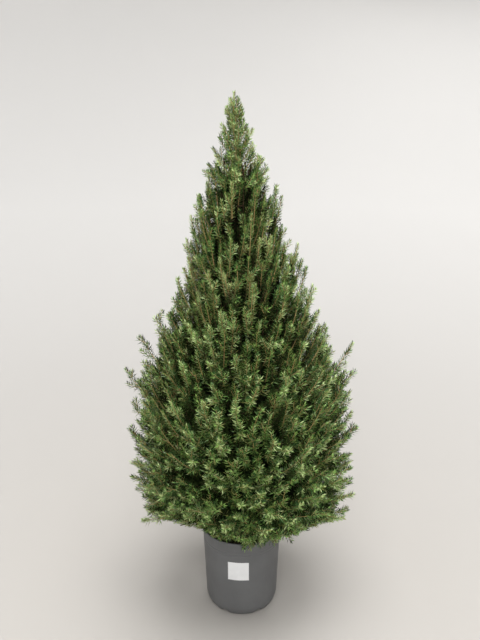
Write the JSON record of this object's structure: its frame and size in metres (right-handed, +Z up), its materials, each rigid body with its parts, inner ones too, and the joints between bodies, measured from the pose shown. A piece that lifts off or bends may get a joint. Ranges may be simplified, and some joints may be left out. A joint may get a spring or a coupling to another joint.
{
  "type": "potted dwarf alberta spruce",
  "caption": "Dwarf spruce grown as a dense cone of foliage on one trunk, standing in a round tapered nursery pot with a lip and a flat underside.",
  "frame": {"origin": "centre of the pot's flat underside", "axes": "+Z up along the trunk, -Y towards the plant's front"},
  "size_m": [0.5456, 0.5239, 1.23],
  "materials": {
    "pot_plastic": "satin moulded grey",
    "substrate": "dull crumbly dark brown",
    "bark": "rough brown bark",
    "needles": "mid green needles"
  },
  "bodies": {
    "root": {"high_1_bough": "bark", "high_1_foliage": "needles", "high_2_bough": "bark", "high_2_foliage": "needles", "high_3_bough": "bark", "high_3_foliage": "needles", "leader_foliage": "needles", "low_1_bough": "bark", "low_1_foliage": "needles", "low_2_bough": "bark", "low_2_foliage": "needles", "low_3_bough": "bark", "low_3_foliage": "needles", "low_4_bough": "bark", "low_4_foliage": "needles", "low_5_bough": "bark", "low_5_foliage": "needles", "low_6_bough": "bark", "low_6_foliage": "needles", "middle_1_bough": "bark", "middle_1_foliage": "needles", "middle_2_bough": "bark", "middle_2_foliage": "needles", "middle_3_bough": "bark", "middle_3_foliage": "needles", "middle_4_bough": "bark", "middle_4_foliage": "needles", "middle_5_bough": "bark", "middle_5_foliage": "needles", "pot": "pot_plastic", "skirt_1_bough": "bark", "skirt_1_foliage": "needles", "skirt_2_bough": "bark", "skirt_2_foliage": "needles", "skirt_3_bough": "bark", "skirt_3_foliage": "needles", "skirt_4_bough": "bark", "skirt_4_foliage": "needles", "skirt_5_bough": "bark", "skirt_5_foliage": "needles", "skirt_6_bough": "bark", "skirt_6_foliage": "needles", "substrate": "substrate", "top_1_foliage": "needles", "top_2_foliage": "needles", "trunk": "bark", "upper_1_bough": "bark", "upper_1_foliage": "needles", "upper_2_bough": "bark", "upper_2_foliage": "needles", "upper_3_bough": "bark", "upper_3_foliage": "needles", "upper_4_bough": "bark", "upper_4_foliage": "needles"}
  },
  "joints": []
}
